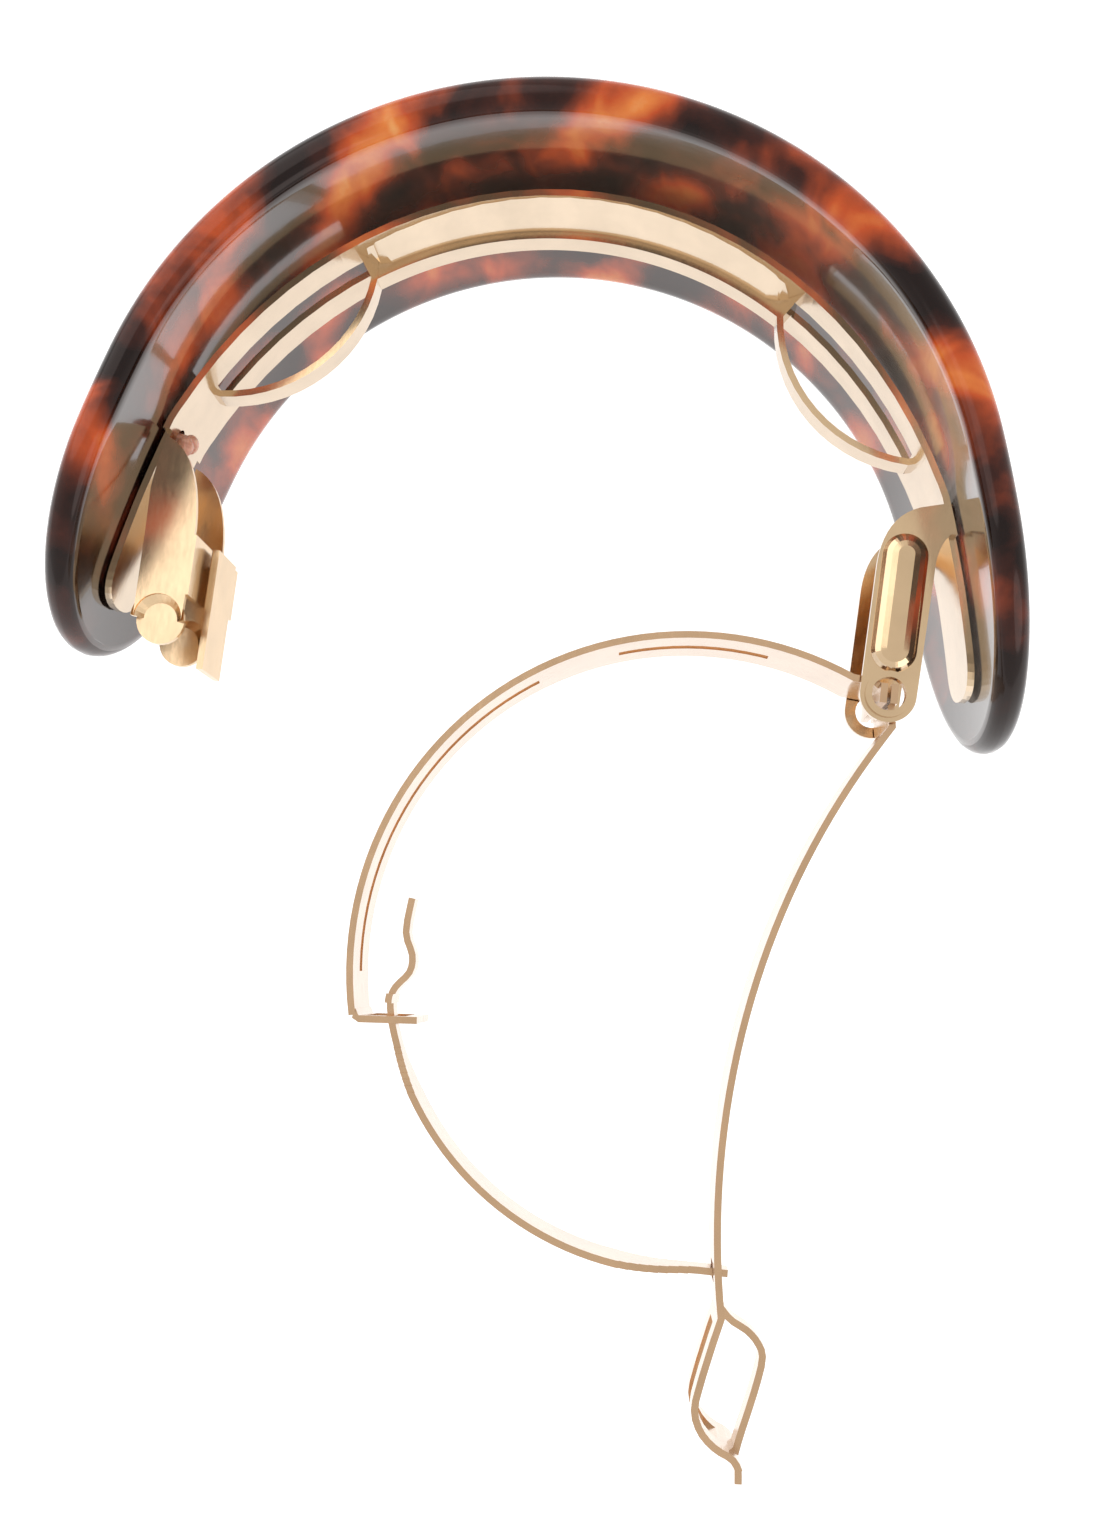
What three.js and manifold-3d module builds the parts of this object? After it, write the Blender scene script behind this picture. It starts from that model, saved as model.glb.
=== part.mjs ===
// Automatic-clip barrette with the clasp open, lying on the long edge of its shell.
// Millimetres, +Z up. X runs along the chord of the C-shaped shell, Y along its axis of symmetry,
// Z across the width of the band. Heights are measured from the mid-plane of the band;
// the last group lifts everything so that the lower edge of the shell is at Z = 0.
import * as THREE from 'three';
import { mergeVertices } from 'three/addons/utils/BufferGeometryUtils.js';
import Module from 'manifold-3d';

const wasm = await Module();
wasm.setup();

// ---------------------------------------------------------------- driving dimensions

const degrees = THREE.MathUtils.degToRad;
const at = (x, y) => new THREE.Vector2(x, y);

const SHELL = {
  width: 34, // across the band
  radius: 37.69, // mid-thickness radius of the crown
  centreY: 1.16,
  crownAngle: degrees(72.5), // half angle of the crown arc
  armRadius: 125, // beyond the crown the arms go on bending, far more gently
  armLength: 23.6,
  crownThickness: 3.3,
  tipThickness: 2.7,
  edgeRadius: 1.3,
  dome: 0.93, // the band's edges lie this much further in than its middle
};

const SHEET = 0.6; // thickness of all the spring-steel sheet
const GAP = 0.3; // clearance where separate pieces meet

const STRIP = {
  halfWidth: 5.1,
  tongueHalfWidth: 4.2,
  radiusX: 38.28, // mid-thickness semi-axes of the curved strip
  radiusY: 44.41,
  centreY: -9.42,
  ribHalfWidth: 1.3,
  leftNotchY: 9.6, // the strip narrows to its tongues here
  rightNotchY: 7.2,
  earNotchY: 4.9,
};
const RIDGE = { // between the loops the strip is pressed inward; radii about the point (0, centreY)
  centreY: -0.6,
  footRadius: 35.35,
  radius: 33.85,
  beadRadius: 33.05,
  fade: 0.08, // share of each half over which it runs out
};
const EYE = {
  x: 32, // centre of the bow of each eye loop
  y: 27.9,
  radius: 13.4,
  halfSlot: 1.6,
  from: degrees(34.5), // ends of the slot under the loop, from the crown
  to: degrees(63.5),
};

const HINGE = { x: 30.95, y: -7.3, earRadius: 2.4, holeRadius: 1.45, collarRadius: 2.0, collarHeight: 0.35 };
const EAR_INNER = STRIP.halfWidth - SHEET;

const LEVER = {
  leftX: -35.0,
  rightX: -30.6,
  padX: -32.8,
  padRadius: 2.15,
  padStep: 1.1, // the finger pad is pressed inward by this much
  slopeRadius: 1.5,
};

const PEG = { angle: 25.5, height: 1.9, shankRadius: 0.6, lobeRadius: 0.85 };

const SPRING_HALF_WIDTH = 4.1;
const LUG = { offset: 0.45, halfLength: 0.85, halfHeight: 5.6 };
const PIVOT = { x: 21.64, y: -57.27 }; // the lower leaf hooks through the arm here
const ARM_ARC = { x: 89.56, y: -46.73, radius: 68.59, from: 147.5, to: 191.5 };
const UPPER_ARC = { x: 16.56, y: -32.35, radius: 28.75, from: 66.5, to: 194.5 };
const LOWER_ARC = { x: 16.01, y: -32.02, radius: 25.5, from: 276, to: 198 };
const UPPER_SLOTS = [[81.4, 108.3], [123.5, 187.2]];
const LOWER_HALF_WIDTH = 2.8;
const NECK_HALF_WIDTH = 1.1;
const FOOT_Y = -39.75;
const FOOT_SLOT_HALF_WIDTH = 3.2; // the lower leaf slides through this slot as the clasp bends

// ---------------------------------------------------------------- solids

// A closed three.js geometry as a solid.
function toSolid(geometry) {
  const bare = geometry.index ? geometry.toNonIndexed() : geometry.clone();
  bare.deleteAttribute('normal');
  bare.deleteAttribute('uv');
  const welded = mergeVertices(bare, 1e-4);
  return new wasm.Manifold(new wasm.Mesh({
    numProp: 3,
    vertProperties: Float32Array.from(welded.attributes.position.array),
    triVerts: Uint32Array.from(welded.index.array),
  }));
}

function toGeometry(solid) {
  const mesh = solid.getMesh();
  const geometry = new THREE.BufferGeometry();
  geometry.setAttribute('position', new THREE.BufferAttribute(mesh.vertProperties, 3));
  geometry.setIndex(new THREE.BufferAttribute(mesh.triVerts, 1));
  geometry.computeVertexNormals();
  return geometry;
}

// A flat outline raised from one height to another.
function slab(shape, low, high, curveSegments = 10) {
  const depth = high - low;
  const geometry = new THREE.ExtrudeGeometry(shape, { depth, bevelEnabled: false, steps: 1, curveSegments });
  return toSolid(geometry.translate(0, 0, low));
}

function block(x0, x1, y0, y1, z0, z1) {
  const box = new THREE.BoxGeometry(x1 - x0, y1 - y0, z1 - z0);
  return toSolid(box.translate((x0 + x1) / 2, (y0 + y1) / 2, (z0 + z1) / 2));
}

function disc(x, y, radius, low, high) {
  const cylinder = new THREE.CylinderGeometry(radius, radius, high - low, 28).rotateX(Math.PI / 2);
  return toSolid(cylinder.translate(x, y, (low + high) / 2));
}

function mirroredX(solid) {
  return solid.mirror([1, 0, 0]);
}

// Cuts a piece down to a half-width inside a rectangle of the XY plane.
function narrowed(solid, x0, x1, y0, y1, halfWidth) {
  const flank = block(x0, x1, y0, y1, halfWidth, halfWidth + 10);
  return solid.subtract(flank).subtract(flank.mirror([0, 0, 1]));
}

function union(solids) {
  return solids.reduce((total, solid) => total.add(solid));
}

// Sheet metal seen on edge: a centre line given a thickness in the XY plane, then a width along Z.
function band(points, low, high) {
  const left = [];
  const right = [];
  points.forEach((point, i) => {
    const before = points[Math.max(i - 1, 0)];
    const after = points[Math.min(i + 1, points.length - 1)];
    const normal = at(before.y - after.y, after.x - before.x).normalize();
    left.push(point.clone().addScaledVector(normal, SHEET / 2));
    right.push(point.clone().addScaledVector(normal, -SHEET / 2));
  });
  return slab(new THREE.Shape([...left, ...right.reverse()]), low, high);
}

// Points on a circular arc; angles in degrees, anticlockwise from +X.
function arcPoints({ x, y, radius, from, to }, count) {
  return Array.from({ length: count + 1 }, (_, i) => {
    const angle = degrees(from + ((to - from) * i) / count);
    return at(x + radius * Math.cos(angle), y + radius * Math.sin(angle));
  });
}

function smooth(points, count) {
  return new THREE.SplineCurve(points).getPoints(count);
}

// ---------------------------------------------------------------- shell

const CROWN_LENGTH = SHELL.radius * SHELL.crownAngle;
const SHELL_HALF_LENGTH = CROWN_LENGTH + SHELL.armLength;

// Middle of the shell's thickness at arc length s from the crown, with its outward normal.
function shellPath(s) {
  const side = Math.sign(s) || 1;
  const turn = Math.min(Math.abs(s), CROWN_LENGTH) / SHELL.radius;
  const heading = turn + Math.max(Math.abs(s) - CROWN_LENGTH, 0) / SHELL.armRadius;
  const x = SHELL.radius * Math.sin(turn) + SHELL.armRadius * (Math.sin(heading) - Math.sin(turn));
  const y = SHELL.centreY + SHELL.radius * Math.cos(turn)
    + SHELL.armRadius * (Math.cos(heading) - Math.cos(turn));
  return { x: side * x, y, nx: side * Math.sin(heading), ny: Math.cos(heading) };
}

function shellThickness(s) {
  return THREE.MathUtils.lerp(SHELL.crownThickness, SHELL.tipThickness, (s / SHELL_HALF_LENGTH) ** 2);
}

// Cross-section of the band, starting on the upper rim: rounded rims with points on the faces between.
function shellSection() {
  const corner = (outward, up, quarter) => [0, 1, 2].map((step) => {
    const angle = (quarter + step / 2) * (Math.PI / 2);
    return { outward, share: up, inset: 1 - Math.abs(Math.sin(angle)), bulge: Math.cos(angle) };
  });
  const face = (outward, up) => [0.7, 0.35, 0, -0.35, -0.7].map((share) => (
    { outward, share: share * up, inset: 1, bulge: outward }
  ));
  return [
    ...corner(-1, 1, 1), ...face(-1, 1), ...corner(-1, -1, 2),
    ...corner(1, -1, 3), ...face(1, -1), ...corner(1, 1, 0),
  ];
}

// One ring of the shell. The outline ends in half circles when the band is laid flat, and the rim
// is rounded by drawing that outline inward towards the two faces.
function shellRing(section, start, turn) {
  return section.map(({ outward, share, inset, bulge }) => {
    const reach = SHELL.width / 2 - SHELL.edgeRadius * inset;
    const s = start + reach * Math.sin(turn);
    const z = share * reach * Math.cos(turn);
    const { x, y, nx, ny } = shellPath(s);
    const flat = shellThickness(s) / 2 - SHELL.edgeRadius;
    const sink = SHELL.dome * (z / (SHELL.width / 2)) ** 2;
    const offset = outward * flat + SHELL.edgeRadius * bulge - sink;
    return new THREE.Vector3(x + nx * offset, y + ny * offset, z);
  });
}

// Closed body through a list of rings with the same number of points.
function loft(rings) {
  const size = rings[0].length;
  const index = [];
  for (let ring = 0; ring < rings.length - 1; ring += 1) {
    for (let i = 0; i < size; i += 1) {
      const a = ring * size + i;
      const b = ring * size + ((i + 1) % size);
      index.push(a, b, b + size, a, b + size, a + size);
    }
  }
  const last = (rings.length - 1) * size;
  for (let i = 1; i < size - 1; i += 1) {
    index.push(0, i + 1, i, last, last + i, last + i + 1);
  }
  const geometry = new THREE.BufferGeometry();
  const positions = rings.flat().flatMap((p) => [p.x, p.y, p.z]);
  geometry.setAttribute('position', new THREE.Float32BufferAttribute(positions, 3));
  geometry.setIndex(index);
  return toSolid(geometry);
}

function shellBody() {
  const section = shellSection();
  const straight = SHELL_HALF_LENGTH - SHELL.width / 2;
  const bodySteps = 48;
  const endSteps = 11;
  const rings = [];
  for (let i = -endSteps; i < 0; i += 1) {
    rings.push(shellRing(section, -straight, degrees((i / endSteps) * 88)));
  }
  for (let i = 0; i <= bodySteps; i += 1) {
    rings.push(shellRing(section, straight * ((2 * i) / bodySteps - 1), 0));
  }
  for (let i = 1; i <= endSteps; i += 1) {
    rings.push(shellRing(section, straight, degrees((i / endSteps) * 88)));
  }
  return loft(rings);
}

// ---------------------------------------------------------------- clip base

// Point on the middle of the strip, angle in degrees from +X, and an offset towards the shell.
function stripPoint(angle, offset = 0) {
  const t = degrees(angle);
  return at((STRIP.radiusX + offset) * Math.cos(t), STRIP.centreY + (STRIP.radiusY + offset) * Math.sin(t));
}

// The tongue follows the inner face of the arm.
function tonguePoints() {
  return [8, 11, 14, 16.5, 19].map((past) => {
    const s = CROWN_LENGTH + past;
    const { x, y, nx, ny } = shellPath(s);
    const inward = shellThickness(s) / 2 + GAP + SHEET / 2 + 0.05;
    return at(x - nx * inward, y - ny * inward);
  });
}

function stripCentreLine() {
  const tip = tonguePoints();
  const side = smooth([stripPoint(29), stripPoint(26), ...tip], 14);
  const crown = Array.from({ length: 30 }, (_, i) => stripPoint(32 + 4 * i));
  const left = side.map((p) => at(-p.x, p.y));
  return [...side.reverse(), ...crown, ...left];
}

// Part of a ring between two angles from the crown.
function ringSector(inner, outer, from, to, halfWidth) {
  const shape = new THREE.Shape();
  shape.absarc(0, RIDGE.centreY, outer, Math.PI / 2 - from, Math.PI / 2 - to, true);
  shape.absarc(0, RIDGE.centreY, inner, Math.PI / 2 - to, Math.PI / 2 - from, false);
  return slab(shape, -halfWidth, halfWidth, 24);
}

// Ridge between the loops: it runs out flat towards both of its ends.
function ridge() {
  const steps = 40;
  const foot = RIDGE.footRadius;
  const rings = [];
  for (let i = 0; i <= steps; i += 1) {
    const share = (2 * i) / steps - 1;
    const height = Math.min(1, 0.1 + (1 - Math.abs(share)) / RIDGE.fade) * (foot - RIDGE.radius);
    const angle = share * (EYE.from - degrees(0.6));
    const section = [[foot, 4.9], [foot - height, 1.3], [foot - height, -1.3], [foot, -4.9]];
    rings.push(section.map(([r, z]) => (
      new THREE.Vector3(r * Math.sin(angle), RIDGE.centreY + r * Math.cos(angle), z)
    )));
  }
  return loft(rings);
}

function eyeLoop() {
  const bow = arcPoints({ ...EYE, from: 184, to: 267 }, 14);
  const head = stripPoint(60.4, -0.1);
  const foot = stripPoint(33, -0.1);
  return band([head, ...bow, foot], -STRIP.ribHalfWidth, STRIP.ribHalfWidth);
}

// Ear outline: a strap from the strip's edge down to the hinge hole.
function earShape() {
  const shape = new THREE.Shape();
  shape.moveTo(35.1, STRIP.earNotchY + 2.4);
  shape.quadraticCurveTo(33.9, STRIP.earNotchY + 1.2, 33.9, STRIP.earNotchY - 1.2);
  shape.lineTo(HINGE.x + HINGE.earRadius, HINGE.y);
  shape.absarc(HINGE.x, HINGE.y, HINGE.earRadius, 0, -Math.PI, true);
  shape.lineTo(28.95, 4.0);
  shape.quadraticCurveTo(29.2, 8.2, 32.2, 9.3);
  shape.lineTo(34.5, 9.9);
  return shape;
}

function stadium(from, to, radius) {
  const angle = Math.atan2(to.y - from.y, to.x - from.x);
  const shape = new THREE.Shape();
  shape.absarc(from.x, from.y, radius, angle + Math.PI / 2, angle + 1.5 * Math.PI, false);
  shape.absarc(to.x, to.y, radius, angle - Math.PI / 2, angle + Math.PI / 2, false);
  return shape;
}

// Rounded emboss on the outer face of an ear: stadium outlines that shrink as they rise.
function emboss(from, to, base) {
  const steps = [[2.0, -0.1], [1.95, 0.05], [1.65, 0.42], [1.2, 0.66], [0.7, 0.76]];
  return loft(steps.map(([radius, rise]) => (
    stadium(from, to, radius).getPoints(10).map((p) => new THREE.Vector3(p.x, p.y, base + rise))
  )));
}

function hingeEar() {
  const outside = STRIP.halfWidth;
  const plate = slab(earShape(), EAR_INNER, outside);
  const rib = emboss(at(31.3, 4.9), at(31.05, -3.4), outside);
  const collar = disc(HINGE.x, HINGE.y, HINGE.collarRadius, EAR_INNER, outside + HINGE.collarHeight);
  const hole = disc(HINGE.x, HINGE.y, HINGE.holeRadius, EAR_INNER - 1, outside + 1);
  return union([plate, rib, collar]).subtract(hole);
}

// Everything outside the rounded end of a tongue, seen along X.
function tongueTrim() {
  const end = tonguePoints().at(-1).y;
  const half = STRIP.tongueHalfWidth;
  const shape = new THREE.Shape();
  shape.moveTo(end - 2, -8);
  shape.lineTo(end + 3.4, -8);
  shape.lineTo(end + 3.4, -half);
  shape.quadraticCurveTo(end, -half, end, 0);
  shape.quadraticCurveTo(end, half, end + 3.4, half);
  shape.lineTo(end + 3.4, 8);
  shape.lineTo(end - 2, 8);
  const plug = new THREE.ExtrudeGeometry(shape, { depth: 8, bevelEnabled: false, curveSegments: 8 });
  const turned = new THREE.Matrix4().makeBasis(
    new THREE.Vector3(0, 1, 0),
    new THREE.Vector3(0, 0, 1),
    new THREE.Vector3(1, 0, 0),
  );
  return toSolid(plug.applyMatrix4(turned).translate(33, 0, 0));
}

// How far it is from the middle of the strip to the inner face of the shell at the pegs.
function pegReach() {
  const toStrip = stripPoint(PEG.angle).distanceTo(at(0, SHELL.centreY));
  return SHELL.radius - shellThickness(CROWN_LENGTH) / 2 - toStrip;
}

// A cylinder along the strip's normal at the peg, given by how far it reaches from the strip's middle.
function pegRod(radius, inward, outward) {
  const middle = stripPoint(PEG.angle);
  const direction = middle.clone().sub(at(0, SHELL.centreY)).normalize();
  const length = inward + outward;
  const rod = new THREE.CylinderGeometry(radius, radius, length, 16).rotateZ(-Math.PI / 2);
  rod.translate((outward - inward) / 2, 0, 0).rotateZ(direction.angle());
  return toSolid(rod.translate(middle.x, middle.y, PEG.height));
}

function clipBase() {
  const { halfWidth, tongueHalfWidth, ribHalfWidth } = STRIP;
  let body = band(stripCentreLine(), -halfWidth, halfWidth);
  body = narrowed(body, -42, -30, -20, STRIP.leftNotchY, tongueHalfWidth);
  body = narrowed(body, 34, 42, -20, STRIP.rightNotchY, tongueHalfWidth);
  const slot = ringSector(RIDGE.footRadius - 2.5, RIDGE.footRadius + 1.5, EYE.from, EYE.to, EYE.halfSlot);
  const cuts = union([slot, tongueTrim(), pegRod(PEG.shankRadius + GAP, 1, 1)]);
  body = body.subtract(cuts).subtract(mirroredX(cuts));
  const bead = ringSector(RIDGE.beadRadius, RIDGE.footRadius, -EYE.from, EYE.from, ribHalfWidth - 0.1);
  const ear = hingeEar();
  return union([body, ridge(), bead, eyeLoop(), mirroredX(eyeLoop()), ear, ear.mirror([0, 0, 1])]);
}

// Heat-staked post: a shank through the strip and a head of two melted lobes on its inner face.
function peg() {
  const shank = pegRod(PEG.shankRadius, SHEET / 2 + GAP + 0.6, pegReach() - GAP);
  const centre = stripPoint(PEG.angle, -(SHEET / 2 + GAP + PEG.lobeRadius * 0.85));
  const lobes = [[0.35, -0.75], [-0.3, 0.7]].map(([along, up]) => {
    const lobe = new THREE.SphereGeometry(PEG.lobeRadius, 18, 12).scale(0.85, 1.05, 1);
    return toSolid(lobe.translate(centre.x, centre.y + along, PEG.height + up));
  });
  return union([shank, ...lobes]);
}

// ---------------------------------------------------------------- release levers

// Lever on the +Z side, from its root on the strip to a pressed-in round finger pad.
function leverPlate(padY) {
  const { leftX, rightX, padX, padRadius, padStep, slopeRadius } = LEVER;
  const outside = STRIP.halfWidth;
  const shape = new THREE.Shape();
  shape.moveTo(leftX, 0);
  shape.lineTo(-35.1, 4.0);
  shape.quadraticCurveTo(-34.9, 6.6, -34.3, 8.9);
  shape.quadraticCurveTo(-31.0, 7.6, rightX, 1.0);
  shape.lineTo(rightX, padY + 2);
  shape.lineTo(padX + padRadius, padY);
  shape.lineTo(padX - padRadius, padY);
  const slope = new THREE.LatheGeometry([
    at(0, EAR_INNER - padStep),
    at(slopeRadius, EAR_INNER - padStep),
    at(padRadius + 0.25, EAR_INNER),
    at(padRadius + 0.25, outside),
    at(slopeRadius, outside - padStep),
    at(0, outside - padStep),
  ], 28).rotateX(Math.PI / 2).translate(padX, padY, 0);
  const upperHalf = block(padX - 4, padX + 4, padY, padY + 4, 0, 8);
  const opening = disc(padX, padY, padRadius, 0, 8);
  const pad = disc(padX, padY, padRadius, EAR_INNER - padStep, outside - padStep);
  const plate = slab(shape, EAR_INNER, outside).subtract(opening);
  return union([plate, toSolid(slope).intersect(upperHalf), pad.subtract(upperHalf)]);
}

function frontLever() {
  const flange = block(-30.95, -30.35, -5.2, 0.2, -0.3, STRIP.halfWidth);
  return leverPlate(-7.5).add(flange);
}

function rearLever() {
  const flange = block(-29.9, -29.3, -11, 0, -STRIP.halfWidth, 1);
  const tab = block(-29.9, -29.3, -5, -0.3, -6, -STRIP.halfWidth + 0.1);
  const bridge = block(-31.5, -29.3, -9.4, -0.4, -STRIP.halfWidth, -EAR_INNER);
  return union([leverPlate(-8.1).mirror([0, 0, 1]), flange, tab, bridge]);
}

// ---------------------------------------------------------------- clasp arm and tension leaves

function hingeLug(side) {
  const x = HINGE.x + side * LUG.offset;
  const { halfLength, halfHeight } = LUG;
  const { y } = HINGE;
  return block(x - SHEET / 2, x + SHEET / 2, y - halfLength, y + halfLength, -halfHeight, halfHeight);
}

function claspArm() {
  const width = SPRING_HALF_WIDTH;
  const top = at(HINGE.x + LUG.offset, HINGE.y - LUG.halfLength + 0.1);
  const loop = smooth(
    [at(21.9, -62.3), at(21.2, -65.7), at(20.95, -67.9), at(21.65, -69.5), at(22.95, -70.6), at(24.4, -71.25),
      at(25.1, -72.3), at(25.3, -73.8)],
    18,
  );
  const tongue = smooth(
    [at(22.3, -59.9), at(23.35, -60.9), at(24.8, -61.6), at(25.8, -62.5), at(26.3, -63.7), at(25.9, -66.4),
      at(25.1, -70.0), at(24.75, -71.9)],
    18,
  );
  const blank = band([top, ...arcPoints(ARM_ARC, 34), ...loop], -width, width);
  const openings = union([
    block(PIVOT.x - 2, PIVOT.x + 2, PIVOT.y - 0.8, PIVOT.y + 0.8, -1.5, 1.5),
    block(18, 24, -70.4, -61.2, -1.6, 1.6),
  ]);
  const arm = narrowed(blank.subtract(openings), 23, 27, -76, -72, 1.6);
  const ribHalf = STRIP.ribHalfWidth;
  return union([arm, hingeLug(1), band(tongue, -ribHalf, ribHalf)]);
}

// Narrow slot along an arc, cut through a leaf.
function arcSlot(arc, from, to, halfWidth) {
  const points = arcPoints({ ...arc, from, to }, 14);
  const inner = points.map((p) => p.clone().sub(at(arc.x, arc.y)).multiplyScalar(0.96).add(at(arc.x, arc.y)));
  const outer = points.map((p) => p.clone().sub(at(arc.x, arc.y)).multiplyScalar(1.04).add(at(arc.x, arc.y)));
  return slab(new THREE.Shape([...inner, ...outer.reverse()]), -halfWidth, halfWidth);
}

function upperLeaf() {
  const width = SPRING_HALF_WIDTH;
  const root = at(HINGE.x - LUG.offset, HINGE.y + LUG.halfLength - 0.1);
  const arc = arcPoints(UPPER_ARC, 48);
  const foot = [at(-11.1, -39.3), at(-11.0, -39.65), at(-10.65, FOOT_Y - 0.1), at(-5.7, FOOT_Y + 0.35)];
  let leaf = band([root, at(29.7, -6.1), ...arc, ...foot], -width, width);
  for (const [from, to] of UPPER_SLOTS) {
    leaf = leaf.subtract(arcSlot(UPPER_ARC, from, to, 0.65));
  }
  const slotHalf = FOOT_SLOT_HALF_WIDTH;
  leaf = leaf.subtract(block(-10.2, -6.8, FOOT_Y - 1, FOOT_Y + 1.2, -slotHalf, slotHalf));
  return leaf.add(hingeLug(-1));
}

function lowerLeaf() {
  const width = LOWER_HALF_WIDTH;
  const arc = arcPoints(LOWER_ARC, 32);
  const hook = [at(PIVOT.x + 1.1, PIVOT.y + 0.02), at(PIVOT.x - 1.4, PIVOT.y - 0.02)];
  const eye = smooth([arc.at(-1), at(-8.6, -38.1), at(-8.3, -36.9), at(-7.25, -35.5), at(-7.2, -34.0),
    at(-8.0, -32.1), at(-7.85, -29.1)], 18);
  let leaf = band([...hook, ...arc, ...eye.slice(1)], -width, width);
  const taperSteps = 8;
  for (let i = 0; i < taperSteps; i += 1) {
    const half = THREE.MathUtils.lerp(width, NECK_HALF_WIDTH, (i + 1) / taperSteps);
    const cutX = THREE.MathUtils.lerp(13.5, 19.4, i / (taperSteps - 1));
    const cutY = THREE.MathUtils.lerp(-45.5, -42, i / (taperSteps - 1));
    leaf = narrowed(leaf, cutX, 24, -60, -55, half);
    leaf = narrowed(leaf, -12, 0, cutY, -38.3, half);
  }
  leaf = narrowed(leaf, -12, -4, -38.4, -37.5, 2.3);
  return narrowed(leaf, -12, -4, -37.5, -28, NECK_HALF_WIDTH);
}

// ---------------------------------------------------------------- assembly

const clip = new THREE.Group();

function place(name, solid, color, roughness, metalness) {
  const material = new THREE.MeshStandardMaterial({ color, roughness, metalness });
  const mesh = new THREE.Mesh(toGeometry(solid), material);
  mesh.name = name;
  clip.add(mesh);
}

place('shell', shellBody(), 0x5a2412, 0.15, 0);
place('clip_base', clipBase(), 0xe3bd8c, 0.2, 1);
place('peg_right', peg(), 0xc98a70, 0.45, 0);
place('peg_left', mirroredX(peg()), 0xc98a70, 0.45, 0);
place('release_lever_front', frontLever(), 0xe3bd8c, 0.22, 1);
place('release_lever_rear', rearLever(), 0xe3bd8c, 0.22, 1);
place('clasp_arm', claspArm(), 0xdcb488, 0.2, 1);
place('tension_leaf_upper', upperLeaf(), 0xdcb488, 0.2, 1);
place('tension_leaf_lower', lowerLeaf(), 0xdcb488, 0.2, 1);

// origin at the middle of the bounding box, on the floor
const extent = new THREE.Box3().setFromObject(clip);
clip.position.set(-(extent.min.x + extent.max.x) / 2, -(extent.min.y + extent.max.y) / 2, -extent.min.z);

const barrette = new THREE.Group();
barrette.add(clip);

export default barrette;
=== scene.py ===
"""Looks of the open barrette: a mottled acetate shell and a bright gold-plated clasp."""

import math

import bmesh
import bpy
import numpy as np
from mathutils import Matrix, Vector


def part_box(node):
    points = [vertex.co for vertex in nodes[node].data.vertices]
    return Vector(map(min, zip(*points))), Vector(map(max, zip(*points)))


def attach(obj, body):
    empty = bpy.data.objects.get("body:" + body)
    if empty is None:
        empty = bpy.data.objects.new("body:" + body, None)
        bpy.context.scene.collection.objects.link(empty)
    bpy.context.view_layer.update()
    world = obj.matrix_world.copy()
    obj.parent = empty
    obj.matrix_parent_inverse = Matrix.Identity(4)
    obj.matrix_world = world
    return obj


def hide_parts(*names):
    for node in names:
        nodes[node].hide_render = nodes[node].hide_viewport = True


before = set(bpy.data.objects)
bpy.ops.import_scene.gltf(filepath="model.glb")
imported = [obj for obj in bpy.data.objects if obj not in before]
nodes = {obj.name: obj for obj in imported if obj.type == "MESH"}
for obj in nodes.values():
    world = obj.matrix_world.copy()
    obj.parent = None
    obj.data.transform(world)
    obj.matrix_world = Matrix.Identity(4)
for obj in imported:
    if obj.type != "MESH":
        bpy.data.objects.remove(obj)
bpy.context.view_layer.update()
MM = 0.001

# ---------------------------------------------------------------- driving dimensions, in metres

SHELL_LOW, SHELL_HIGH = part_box("shell")
WIDTH = SHELL_HIGH.z - SHELL_LOW.z
MID_Z = WIDTH / 2
CROWN_RADIUS = 37.69 * MM
CROWN_ANGLE = math.radians(72.5)
ARM_RADIUS = 125 * MM
ARM_LENGTH = 23.6 * MM
CROWN_THICKNESS = 3.3 * MM
TIP_THICKNESS = 2.7 * MM
EDGE_RADIUS = 1.3 * MM
DOME = 0.93 * MM
CENTRE_Y = SHELL_HIGH.y - CROWN_THICKNESS / 2 - CROWN_RADIUS
CROWN_LENGTH = CROWN_RADIUS * CROWN_ANGLE
HALF_LENGTH = CROWN_LENGTH + ARM_LENGTH


# ---------------------------------------------------------------- small tools

def srgb(*channels):
    """Display values from 0 to 255 as linear RGBA."""
    linear = [((c / 255 + 0.055) / 1.055) ** 2.4 if c > 10 else c / 255 / 12.92 for c in channels]
    return (*linear, 1.0)


def smoothstep(x, low, high):
    t = np.clip((x - low) / (high - low), 0, 1)
    return t * t * (3 - 2 * t)


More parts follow.
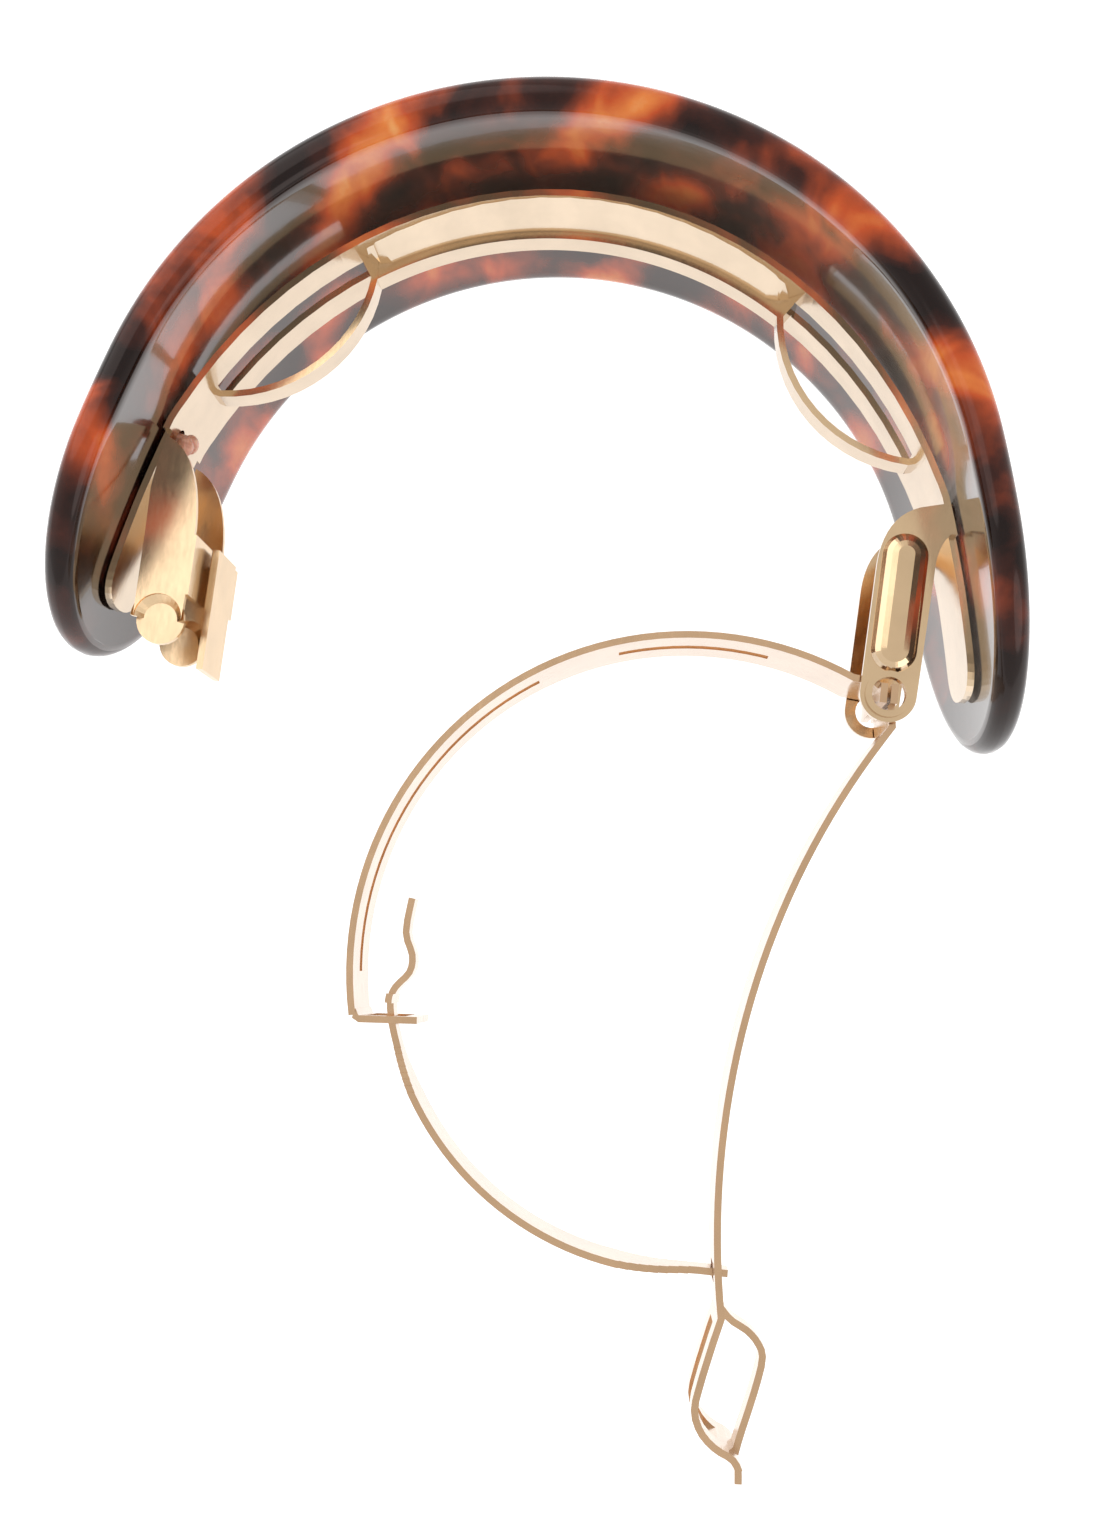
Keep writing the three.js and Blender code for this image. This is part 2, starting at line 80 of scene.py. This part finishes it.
class Graph:
    """Short names for building a material's nodes."""

    def __init__(self, name):
        self.material = bpy.data.materials.new(name)
        self.material.use_nodes = True
        self.nodes = self.material.node_tree.nodes
        self.links = self.material.node_tree.links
        self.shader = self.nodes["Principled BSDF"]

    def add(self, kind, **settings):
        node = self.nodes.new(kind)
        for key, value in settings.items():
            if hasattr(node, key):
                setattr(node, key, value)
            else:
                node.inputs[key.replace("_", " ")].default_value = value
        return node

    def ramp(self, source, stops):
        node = self.add("ShaderNodeValToRGB")
        elements = node.color_ramp.elements
        while len(elements) < len(stops):
            elements.new(0.5)
        for element, (position, colour) in zip(elements, stops):
            element.position = position
            element.color = colour
        self.links.new(source, node.inputs["Fac"])
        return node.outputs["Color"]

    def grey_ramp(self, source, stops):
        return self.ramp(source, [(p, (v, v, v, 1)) for p, v in stops])

    def noise(self, vector, scale, detail=3.0, roughness=0.5, distortion=0.0):
        node = self.add("ShaderNodeTexNoise")
        node.inputs["Scale"].default_value = scale
        node.inputs["Detail"].default_value = detail
        node.inputs["Roughness"].default_value = roughness
        node.inputs["Distortion"].default_value = distortion
        self.links.new(vector, node.inputs["Vector"])
        return node.outputs["Fac"]

    def calc(self, operation, a, b):
        node = self.add("ShaderNodeMath", operation=operation)
        for socket, value in zip(node.inputs, (a, b)):
            if isinstance(value, (int, float)):
                socket.default_value = value
            else:
                self.links.new(value, socket)
        return node.outputs["Value"]

    def mix(self, factor, a, b, blend="MIX"):
        node = self.add("ShaderNodeMix", data_type="RGBA", blend_type=blend)
        for index, value in ((0, factor), (6, a), (7, b)):
            if isinstance(value, (int, float, tuple)):
                node.inputs[index].default_value = value
            else:
                self.links.new(value, node.inputs[index])
        return node.outputs[2]

    def bump(self, height, strength, distance):
        node = self.add("ShaderNodeBump")
        node.inputs["Strength"].default_value = strength
        node.inputs["Distance"].default_value = distance
        self.links.new(height, node.inputs["Height"])
        self.links.new(node.outputs["Normal"], self.shader.inputs["Normal"])

    def set(self, **values):
        for key, value in values.items():
            self.shader.inputs[key.replace("_", " ")].default_value = value


def new_object(name, vertices, faces, material):
    mesh = bpy.data.meshes.new(name)
    mesh.from_pydata([tuple(v) for v in vertices], [], faces)
    mesh.materials.append(material)
    mesh.shade_smooth()
    made = bpy.data.objects.new(name, mesh)
    bpy.context.scene.collection.objects.link(made)
    return made


# ---------------------------------------------------------------- materials

def acetate_tone(s, z, depth):
    """Tone at a place on the sheet laid flat, all in mm, 0 dark to 1 pale: leaning clouds near the upper
    edge, rounder ones lower down, and darker ends."""
    lean = s + 0.5 * (34 - z) - 0.8 * depth
    leaning = 0.38 + 0.21 * np.sin(0.31 * lean + 0.4)
    leaning += 0.15 * np.sin(0.53 * lean - 1.1 + 0.6 * np.sin(0.12 * lean))
    rounder = 0.36 + 0.3 * np.sin(0.27 * s + 0.21 * z + 1.0) * np.cos(0.11 * s - 0.33 * z)
    rounder += 0.16 * np.sin(0.55 * s - 0.17 * z + 0.5 * np.sin(0.4 * z))
    share = smoothstep(z, 19, 29)
    tone = leaning * share + rounder * (1 - share)
    return tone * (1 - 0.6 * smoothstep(np.abs(s), 52, 66))


def acetate_material(name, ior, coat):
    """Mottled acetate with a polished skin: the tone sets the clouds, and noise frays their edges."""
    g = Graph(name)
    flat = g.add("ShaderNodeAttribute", attribute_name="sheet").outputs["Vector"]
    tone = g.add("ShaderNodeAttribute", attribute_name="tone").outputs["Fac"]
    stretch = g.add("ShaderNodeMapping")
    stretch.inputs["Scale"].default_value = (1.0, 0.55, 1.0)
    stretch.inputs["Rotation"].default_value = (0, 0, math.radians(28))
    g.links.new(flat, stretch.inputs["Vector"])
    streaky = stretch.outputs["Vector"]
    wisps = g.noise(streaky, 210, detail=2, roughness=0.45, distortion=0.7)
    fine = g.noise(streaky, 700, detail=3, roughness=0.55, distortion=0.4)
    wobble = g.calc("MULTIPLY", g.calc("SUBTRACT", wisps, 0.5), 0.75)
    value = g.calc("ADD", tone, wobble)
    value = g.calc("ADD", value, g.calc("MULTIPLY", g.calc("SUBTRACT", fine, 0.5), 0.12))
    colour = g.ramp(value, [
        (0.10, srgb(20, 11, 9)), (0.26, srgb(56, 25, 18)), (0.42, srgb(120, 50, 28)),
        (0.60, srgb(186, 78, 36)), (0.80, srgb(216, 124, 60)), (0.98, srgb(230, 178, 112)),
    ])
    g.links.new(colour, g.shader.inputs["Base Color"])
    g.set(Roughness=0.12, IOR=ior, Coat_Weight=coat, Coat_Roughness=0.03, Coat_IOR=1.5,
          Subsurface_Weight=0.15, Subsurface_Scale=0.001)
    g.shader.inputs["Subsurface Radius"].default_value = (1.0, 0.35, 0.15)
    g.shader.inputs["Specular Tint"].default_value = (1.0, 0.84, 0.80, 1)
    polish = g.noise(flat, 420, detail=2)
    g.bump(polish, 0.03, 0.0003)
    return g.material


def gold_material(name, upright, up_facing_painted_tone, roughness):
    """Plated sheet with painted shading: the stamped faces and sheared edges that lie flat get the
    warmer colour as a painted shade, standing in for the dimmer light they catch from above.
    """
    g = Graph(name)
    coordinates = g.add("ShaderNodeTexCoord")
    where = coordinates.outputs["Object"]
    split = g.add("ShaderNodeSeparateXYZ")
    g.links.new(coordinates.outputs["Normal"], split.inputs[0])
    # painted shade: faces whose normal points up or down blend towards the warmer colour
    painted_facing_mask = g.grey_ramp(g.calc("ABSOLUTE", split.outputs["Z"], 0.0), [(0.45, 0.0), (0.95, 1.0)])
    tint = g.mix(painted_facing_mask, upright, up_facing_painted_tone)
    cloudy = g.grey_ramp(g.noise(where, 260, detail=3), [(0.3, 0.90), (0.7, 1.0)])
    g.links.new(g.mix(1.0, tint, cloudy, blend="MULTIPLY"), g.shader.inputs["Base Color"])
    grain = g.add("ShaderNodeMapping")
    grain.inputs["Scale"].default_value = (1.0, 0.25, 1.0)
    g.links.new(where, grain.inputs["Vector"])
    scratches = g.noise(grain.outputs["Vector"], 2600, detail=3, roughness=0.7)
    g.links.new(
        g.grey_ramp(scratches, [(0.3, roughness * 0.8), (0.75, roughness * 1.35)]),
        g.shader.inputs["Roughness"],
    )
    g.set(Metallic=1.0)
    g.bump(scratches, 0.05, 0.00004)
    return g.material


def peg_material():
    g = Graph("melted_acetate")
    where = g.add("ShaderNodeTexCoord").outputs["Object"]
    lumps = g.noise(where, 1500, detail=3)
    g.links.new(
        g.ramp(lumps, [(0.3, srgb(176, 112, 88)), (0.7, srgb(222, 172, 148))]),
        g.shader.inputs["Base Color"],
    )
    g.set(Roughness=0.4, Subsurface_Weight=0.3, Subsurface_Scale=0.0006)
    g.bump(lumps, 0.5, 0.0002)
    return g.material


ACETATE = acetate_material("tortoise_acetate", 1.38, 0.0)
ACETATE_INNER = acetate_material("tortoise_acetate_inner", 1.6, 0.35)
# the second colour of each plated finish is a painted shade for faces that lie flat, not a colour of the
# plating
STRIP_GOLD = gold_material("plated_strip", srgb(222, 203, 180), srgb(238, 205, 162), 0.14)
LEVER_GOLD = gold_material("plated_levers", srgb(226, 196, 156), srgb(238, 206, 166), 0.2)
SPRING_GOLD = gold_material("plated_springs", srgb(222, 201, 182), srgb(226, 188, 148), 0.2)
PEG = peg_material()


# ---------------------------------------------------------------- shell

def shell_path(s):
    """Middle of the shell's thickness at arc length s, and its outward direction."""
    side = -1 if s < 0 else 1
    turn = min(abs(s), CROWN_LENGTH) / CROWN_RADIUS
    heading = turn + max(abs(s) - CROWN_LENGTH, 0) / ARM_RADIUS
    x = CROWN_RADIUS * math.sin(turn) + ARM_RADIUS * (math.sin(heading) - math.sin(turn))
    y = CENTRE_Y + CROWN_RADIUS * math.cos(turn) + ARM_RADIUS * (math.cos(heading) - math.cos(turn))
    return Vector((side * x, y)), Vector((side * math.sin(heading), math.cos(heading)))


def shell_thickness(s):
    return CROWN_THICKNESS + (TIP_THICKNESS - CROWN_THICKNESS) * (s / HALF_LENGTH) ** 2


ROUND_STEPS = 8
ACROSS = 22


def shell_profile():
    """One half of the cross-section from the inner face's middle to the outer face's middle: the share
    of the reach across the band, the inset from the rim, and the place through the thickness."""
    rows = [(share / ACROSS, 1.0, -1.0, -EDGE_RADIUS) for share in range(ACROSS)]
    for step in range(ROUND_STEPS + 1):
        angle = math.pi * step / ROUND_STEPS
        side = -1.0 if step < ROUND_STEPS / 2 else 1.0
        if step * 2 == ROUND_STEPS:
            rows += [(1.0, 0.0, -1.0, 0.0), (1.0, 0.0, 1.0, 0.0)]
        else:
            rows.append((1.0, 1 - math.sin(angle), side, -EDGE_RADIUS * math.cos(angle)))
    rows += [(share / ACROSS, 1.0, 1.0, EDGE_RADIUS) for share in range(ACROSS - 1, -1, -1)]
    return rows


def shell_stations():
    """(start, turn): along the straight middle, then round the half-circle ends."""
    straight = HALF_LENGTH - WIDTH / 2
    middle, end = 150, 26
    ends = [math.radians(90) * (i / end) for i in range(1, end)]
    stations = [(-straight, -turn) for turn in reversed(ends)]
    stations += [(straight * (2 * i / middle - 1), 0.0) for i in range(middle + 1)]
    stations += [(straight, turn) for turn in ends]
    return stations


def build_shell():
    profile = shell_profile()
    half = len(profile)
    vertices, flat = [], []

    def vertex(start, turn, up, row):
        share, inset, side, offset = row
        reach = WIDTH / 2 - EDGE_RADIUS * inset
        s = start + reach * math.sin(turn)
        point, outward = shell_path(s)
        depth = side * (shell_thickness(s) / 2 - EDGE_RADIUS) + offset
        height = up * share * reach * math.cos(turn)
        point = point + outward * (depth - DOME * (height / MID_Z) ** 2)
        z = MID_Z + height
        vertices.append((point.x, point.y, z))
        flat.append((s, z, depth))

    rings = []
    for start, turn in shell_stations():
        first = len(vertices)
        for row in profile:
            vertex(start, turn, 1, row)
        for row in reversed(profile[1:-1]):
            vertex(start, turn, -1, row)
        rings.append(range(first, len(vertices)))
    size = 2 * half - 2
    faces = []
    for a, b in zip(rings, rings[1:]):
        for i in range(size):
            j = (i + 1) % size
            faces.append((a[i], a[j], b[j], b[i]))
    for ring, flip in ((rings[0], True), (rings[-1], False)):
        for i in range(half - 1):
            low, low_next = ring[(size - i) % size], ring[(size - i - 1) % size]
            quad = list(dict.fromkeys([ring[i], ring[i + 1], low_next, low]))
            faces.append(tuple(reversed(quad)) if flip else tuple(quad))
    made = new_object("acetate_shell", vertices, faces, ACETATE)
    made.data.materials.append(ACETATE_INNER)
    recalculate_normals(made)
    for face in made.data.polygons:
        inner = all(flat[corner][2] < 0.25 * MM - shell_thickness(flat[corner][0]) / 2
                    for corner in face.vertices)
        face.material_index = int(inner)
    flat = np.array(flat)
    mesh = made.data
    mesh.attributes.new("sheet", "FLOAT_VECTOR", "POINT").data.foreach_set("vector", flat.ravel())
    layer = mesh.attributes.new("tone", "FLOAT", "POINT")
    layer.data.foreach_set("value", acetate_tone(*(flat.T / MM)).astype(np.float32))
    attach(made, "base")
    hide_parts("shell")


def recalculate_normals(made):
    work = bmesh.new()
    work.from_mesh(made.data)
    bmesh.ops.recalc_face_normals(work, faces=work.faces)
    work.to_mesh(made.data)
    work.free()


build_shell()


# ---------------------------------------------------------------- metal on the CAD solids

def finish_node(name, material, bevel):
    """A CAD solid that keeps its shape: new material, broken edges and smooth rounds."""
    solid = nodes[name]
    solid.data.materials.clear()
    solid.data.materials.append(material)
    solid.data.shade_smooth()
    edge = solid.modifiers.new("broken_edges", "BEVEL")
    edge.width = bevel
    edge.segments = 2
    edge.limit_method = "ANGLE"
    edge.angle_limit = math.radians(38)
    edge.harden_normals = True


for node_name, finish, radius in (
    ("clip_base", STRIP_GOLD, 0.10 * MM),
    ("release_lever_front", LEVER_GOLD, 0.12 * MM),
    ("release_lever_rear", LEVER_GOLD, 0.12 * MM),
    ("clasp_arm", SPRING_GOLD, 0.10 * MM),
    ("tension_leaf_upper", SPRING_GOLD, 0.10 * MM),
    ("tension_leaf_lower", SPRING_GOLD, 0.10 * MM),
    ("peg_left", PEG, 0.05 * MM),
    ("peg_right", PEG, 0.05 * MM),
):
    finish_node(node_name, finish, radius)


# ---------------------------------------------------------------- stage, light and camera

def build_stage():
    g = Graph("white_floor")
    g.set(Roughness=0.9, Emission_Strength=1.05)
    g.shader.inputs["Base Color"].default_value = (0.3, 0.3, 0.3, 1)
    g.shader.inputs["Emission Color"].default_value = (1, 1, 1, 1)
    size = 3.0
    floor = new_object(
        "floor",
        [(-size, -size, 0), (size, -size, 0), (size, size, 0), (-size, size, 0)],
        [(0, 1, 2, 3)],
        g.material,
    )


def build_world():
    world = bpy.data.worlds.new("studio")
    bpy.context.scene.world = world
    world.use_nodes = True
    tree = world.node_tree
    background = tree.nodes["Background"]
    where = tree.nodes.new("ShaderNodeTexCoord")
    split = tree.nodes.new("ShaderNodeSeparateXYZ")
    tree.links.new(where.outputs["Generated"], split.inputs[0])
    ramp = tree.nodes.new("ShaderNodeValToRGB")
    ramp.color_ramp.elements[0].position = 0.35
    ramp.color_ramp.elements[0].color = (1.0, 1.0, 1.0, 1)
    ramp.color_ramp.elements[1].position = 0.95
    ramp.color_ramp.elements[1].color = (0.72, 0.72, 0.73, 1)
    tree.links.new(split.outputs["Z"], ramp.inputs["Fac"])
    tree.links.new(ramp.outputs["Color"], background.inputs["Color"])
    background.inputs["Strength"].default_value = 1.0


def soft_light(name, place, target, size, power):
    data = bpy.data.lights.new(name, "AREA")
    data.shape = "DISK"
    data.size = size
    data.energy = power
    light = bpy.data.objects.new(name, data)
    bpy.context.scene.collection.objects.link(light)
    light.location = place
    light.rotation_euler = (Vector(target) - Vector(place)).to_track_quat("-Z", "Y").to_euler()


def build_camera():
    data = bpy.data.cameras.new("camera")
    data.lens = 38.1
    data.sensor_width = 36
    camera = bpy.data.objects.new("camera", data)
    bpy.context.scene.collection.objects.link(camera)
    camera.location = (0.0114, -0.01642, 0.1585)
    camera.rotation_euler = (math.radians(7.414), math.radians(2.68), math.radians(6.8))
    bpy.context.scene.camera = camera


build_stage()
build_world()
soft_light("key", (-0.35, 0.30, 0.45), (0, 0, 0), 0.7, 1.15)
soft_light("fill", (0.40, -0.25, 0.35), (0, 0, 0), 0.45, 0.6)
build_camera()
bpy.context.scene.view_settings.view_transform = "Standard"
